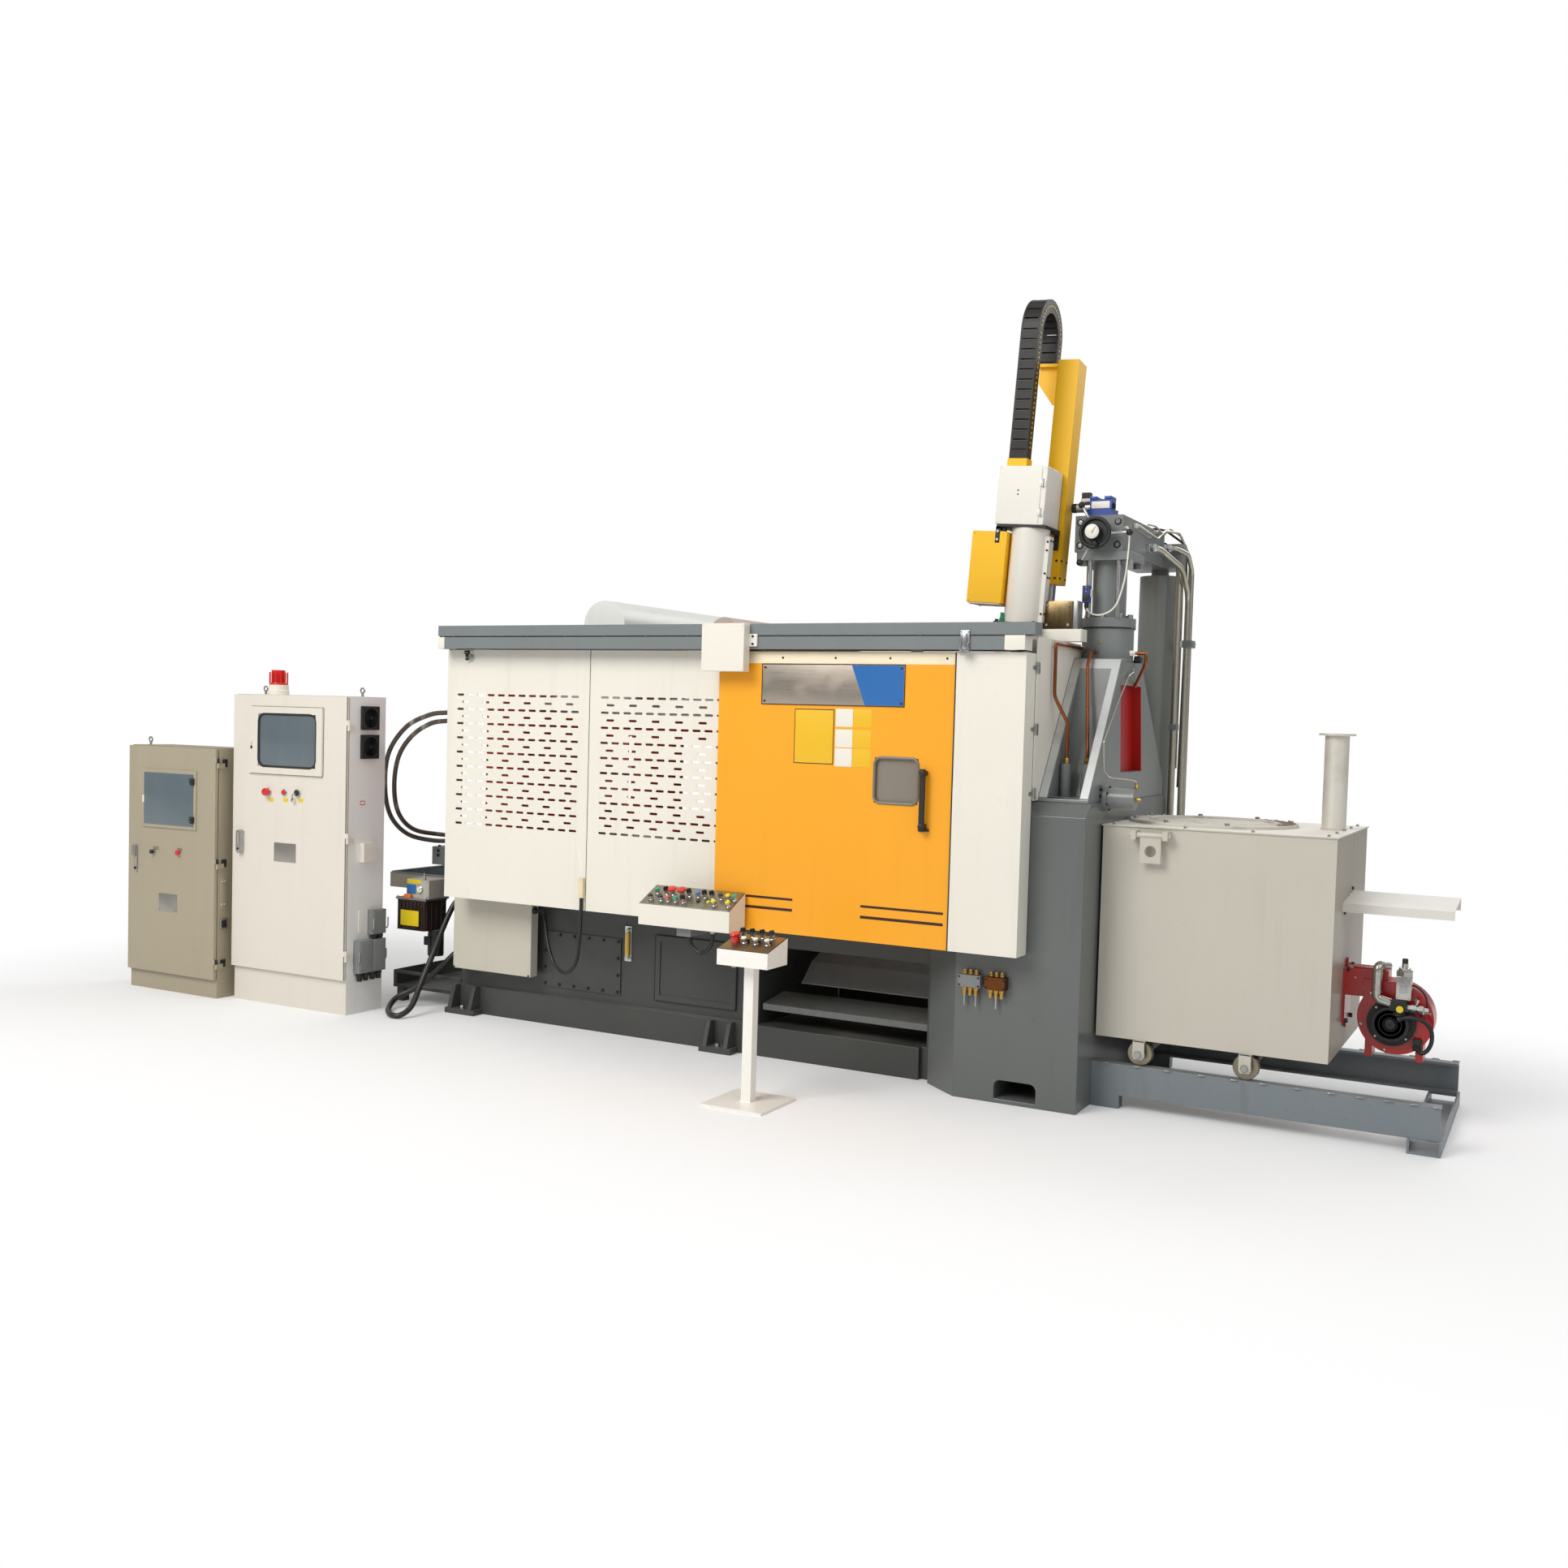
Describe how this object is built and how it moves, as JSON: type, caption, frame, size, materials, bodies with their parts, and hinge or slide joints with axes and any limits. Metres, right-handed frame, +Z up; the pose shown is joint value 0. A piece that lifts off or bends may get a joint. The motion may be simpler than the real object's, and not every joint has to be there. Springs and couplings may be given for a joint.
{
  "type": "hot chamber die casting machine",
  "caption": "Hot chamber die casting machine with slotted white guards, a yellow sliding safety door, a gas-fired furnace on rails, an extraction robot and free-standing control cabinets",
  "frame": {"origin": "floor point under the middle of the die pedestal, on the machine's centre plane", "axes": "X along the machine from the control cabinets to the furnace, Y from the operator's side to the rear, Z up"},
  "size_m": [7.171, 2.4249, 3.7109],
  "materials": {
    "bed_paint": "dark grey satin enamel over cast and welded steel",
    "machine_grey": "mid grey satin enamel, lightly uneven over castings",
    "panel_white": "warm white powder coat",
    "rail_grey": "light grey satin enamel",
    "door_yellow": "orange yellow powder coat",
    "robot_yellow": "bright yellow gloss enamel",
    "window_glazing": "clear guard window with grey seal",
    "black_fittings": "matt black moulded plastic",
    "toggle_orange": "orange red enamel over machined castings",
    "bright_steel": "ground and hard chromed steel",
    "sheet_cover": "beige grey enamel on bent sheet",
    "robot_white": "white gloss enamel",
    "chain_black": "black glass-filled polyamide",
    "guard_red": "red gloss enamel",
    "valve_blue": "blue enamel on a cast valve",
    "steel_pipe": "bare drawn steel tube",
    "copper_tube": "bare copper tube, dulled",
    "furnace_paint": "warm grey enamel, lightly stained",
    "pot_iron": "scaled cast iron with dross",
    "burner_red": "red enamel on cast aluminium",
    "gas_fittings": "bare cast and zinc-plated fittings",
    "rail_steel": "grey enamel over welded channel with scuffs",
    "cabinet_beige": "beige textured powder coat",
    "lube_grey": "grey enamel sheet with oil film",
    "hose_black": "black rubber hose cover"
  },
  "bodies": {
    "machine": {"machine_base": "bed_paint", "base_feet": "bed_paint", "left_frame": "bed_paint", "base_covers": "bed_paint", "discharge_chute": "rail_grey", "die_pedestal": "machine_grey", "valve_blocks": "copper_tube", "cover_frame": "rail_grey", "left_panel": "panel_white", "middle_panel": "panel_white", "rear_panels": "panel_white", "side_cover": "panel_white", "top_rail": "rail_grey", "rail_box": "panel_white", "end_platen": "toggle_orange", "moving_platen": "toggle_orange", "fixed_platen": "machine_grey", "tie_bars": "bright_steel", "toggle_links": "toggle_orange", "top_hoods": "sheet_cover", "robot_column": "robot_white", "robot_box": "robot_white", "robot_mast": "robot_yellow", "cable_chain": "chain_black", "shot_frame": "machine_grey", "red_guard": "guard_red", "shot_cylinder": "machine_grey", "shot_manifold": "machine_grey", "shot_valve": "valve_blue", "accumulator": "machine_grey", "shot_pipes": "steel_pipe", "copper_pipes": "copper_tube", "lock_cylinders": "machine_grey", "furnace_rails": "rail_steel", "cabinet_1": "cabinet_beige", "cabinet_2": "panel_white", "console": "panel_white", "control_station": "panel_white", "electrical_box": "panel_white", "lube_unit": "lube_grey", "service_hoses": "hose_black"},
    "door_body": {"safety_door": "door_yellow", "door_window": "window_glazing", "door_handle": "black_fittings"},
    "corner_cover": {"right_cover": "panel_white"},
    "furnace": {"furnace_body": "furnace_paint", "furnace_lid": "pot_iron", "furnace_flue": "furnace_paint", "burner_roof": "furnace_paint", "burner": "burner_red", "gas_train": "gas_fittings"},
    "front_lug_body": {"front_lug": "furnace_paint"},
    "rear_lug_body": {"rear_lug": "furnace_paint"},
    "left_wheelset": {"left_wheels": "rail_steel"},
    "right_wheelset": {"right_wheels": "rail_steel"},
    "hand_wheel_body": {"handwheel": "black_fittings"},
    "star_handle_body": {"star_handle": "bright_steel"},
    "left_cabinet_door": {"cabinet_1_door": "cabinet_beige"},
    "right_cabinet_door": {"cabinet_2_door": "panel_white"}
  },
  "joints": [
    {"name": "safety_door_slide", "type": "slide", "parent": "machine", "child": "door_body", "axis": [-1, 0, 0], "range_m": [0, 1.1]},
    {"name": "corner_cover_hinge", "type": "hinge", "parent": "machine", "child": "corner_cover", "pos_m": [0.048, -0.716, 1.35], "axis": [0, 0, 1], "range_deg": [0, 90]},
    {"name": "furnace_travel", "type": "slide", "parent": "machine", "child": "furnace", "axis": [1, 0, 0], "range_m": [0, 0.5]},
    {"name": "left_wheels_turn", "type": "hinge", "parent": "furnace", "child": "left_wheelset", "pos_m": [0.5, 0, 0.257], "axis": [0, 1, 0], "range_deg": [-30, 560]},
    {"name": "right_wheels_turn", "type": "hinge", "parent": "furnace", "child": "right_wheelset", "pos_m": [0.96, 0, 0.257], "axis": [0, 1, 0], "range_deg": [-30, 560]},
    {"name": "front_lug_swing", "type": "hinge", "parent": "furnace", "child": "front_lug_body", "pos_m": [0.522, -0.52, 1.235], "axis": [-1, 0, 0], "range_deg": [0, 120]},
    {"name": "rear_lug_swing", "type": "hinge", "parent": "furnace", "child": "rear_lug_body", "pos_m": [0.522, 0.52, 1.235], "axis": [1, 0, 0], "range_deg": [0, 120]},
    {"name": "handwheel_turn", "type": "hinge", "parent": "machine", "child": "hand_wheel_body", "pos_m": [0.13, -0.206, 2.61], "axis": [0, -1, 0], "continuous": true},
    {"name": "star_handle_turn", "type": "hinge", "parent": "machine", "child": "star_handle_body", "pos_m": [0.13, -0.175, 2.61], "axis": [0, -1, 0], "continuous": true},
    {"name": "left_cabinet_hinge", "type": "hinge", "parent": "machine", "child": "left_cabinet_door", "pos_m": [-4.682, -1.084, 0.78], "axis": [0, 0, 1], "range_deg": [0, 95]},
    {"name": "right_cabinet_hinge", "type": "hinge", "parent": "machine", "child": "right_cabinet_door", "pos_m": [-3.753, -1.006, 0.98], "axis": [0, 0, 1], "range_deg": [0, 105]}
  ],
  "couplings": [
    {"joint": "left_wheels_turn", "follows": "furnace_travel", "rad_per_m": 18.182},
    {"joint": "right_wheels_turn", "follows": "furnace_travel", "rad_per_m": 18.182}
  ]
}
